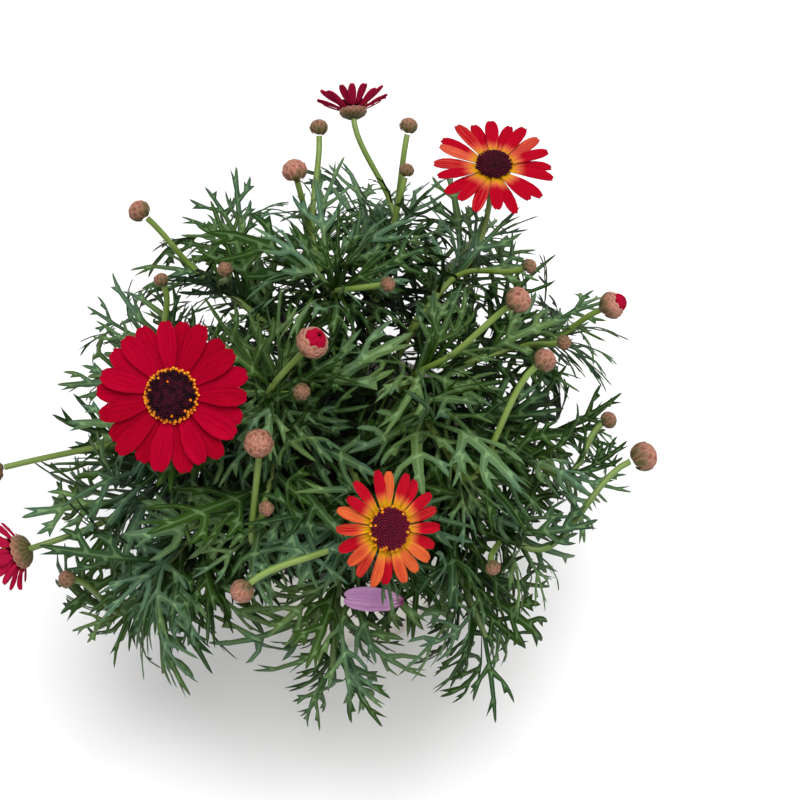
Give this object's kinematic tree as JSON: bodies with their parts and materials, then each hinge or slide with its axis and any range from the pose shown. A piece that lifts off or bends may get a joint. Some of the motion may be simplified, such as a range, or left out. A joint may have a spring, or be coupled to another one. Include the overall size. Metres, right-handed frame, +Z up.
{
  "type": "potted marguerite daisy",
  "caption": "Marguerite daisy in a plain round pot: leafy stems with finely cut leaves, scaly buds, and red and orange daisy blooms over potting mix.",
  "frame": {"origin": "centre of the pot's flat underside", "axes": "+Z up along the pot's axis; -Y towards the viewer of the picture; +X to the viewer's right"},
  "size_m": [0.2908, 0.2891, 0.2648],
  "materials": {
    "pot": "satin",
    "potting_mix": "matte",
    "bark": "matte",
    "green": "satin",
    "bud_scales": "matte",
    "crimson_petals": "matte",
    "orange_petals": "matte",
    "faded_petal": "matte",
    "disc_florets": "matte"
  },
  "bodies": {
    "root": {"pot": "pot", "soil": "potting_mix", "woody_base": "bark", "leafy_stem_01": "green", "leafy_stem_02": "green", "leafy_stem_03": "green", "leafy_stem_04": "green", "leafy_stem_05": "green", "leafy_stem_06": "green", "leafy_stem_07": "green", "leafy_stem_08": "green", "leafy_stem_09": "green", "leafy_stem_10": "green", "leafy_stem_11": "green", "leafy_stem_12": "green", "leafy_stem_13": "green", "bud_01": "bud_scales", "bud_02": "bud_scales", "bud_03": "bud_scales", "bud_04": "bud_scales", "bud_05": "bud_scales", "bud_05_tip": "crimson_petals", "bud_06": "bud_scales", "bud_07": "bud_scales", "bud_08": "bud_scales", "bud_09": "bud_scales", "bud_10": "bud_scales", "bud_10_tip": "crimson_petals", "bud_11": "bud_scales", "bud_12": "bud_scales", "bud_13": "bud_scales", "bud_14": "bud_scales", "bud_15": "bud_scales", "bud_16": "bud_scales", "bud_17": "bud_scales", "bud_18": "bud_scales", "bud_19": "bud_scales", "bud_20": "bud_scales", "bud_21": "bud_scales", "bud_22": "bud_scales", "bud_23": "bud_scales", "bloom_01_petals": "crimson_petals", "bloom_01_disc": "disc_florets", "bloom_02_petals": "orange_petals", "bloom_02_disc": "disc_florets", "bloom_03_petals": "orange_petals", "bloom_03_disc": "disc_florets", "bloom_04_petals": "crimson_petals", "bloom_04_disc": "disc_florets", "bloom_05_petals": "crimson_petals", "bloom_05_disc": "disc_florets", "fallen_petal": "faded_petal"}
  },
  "joints": []
}
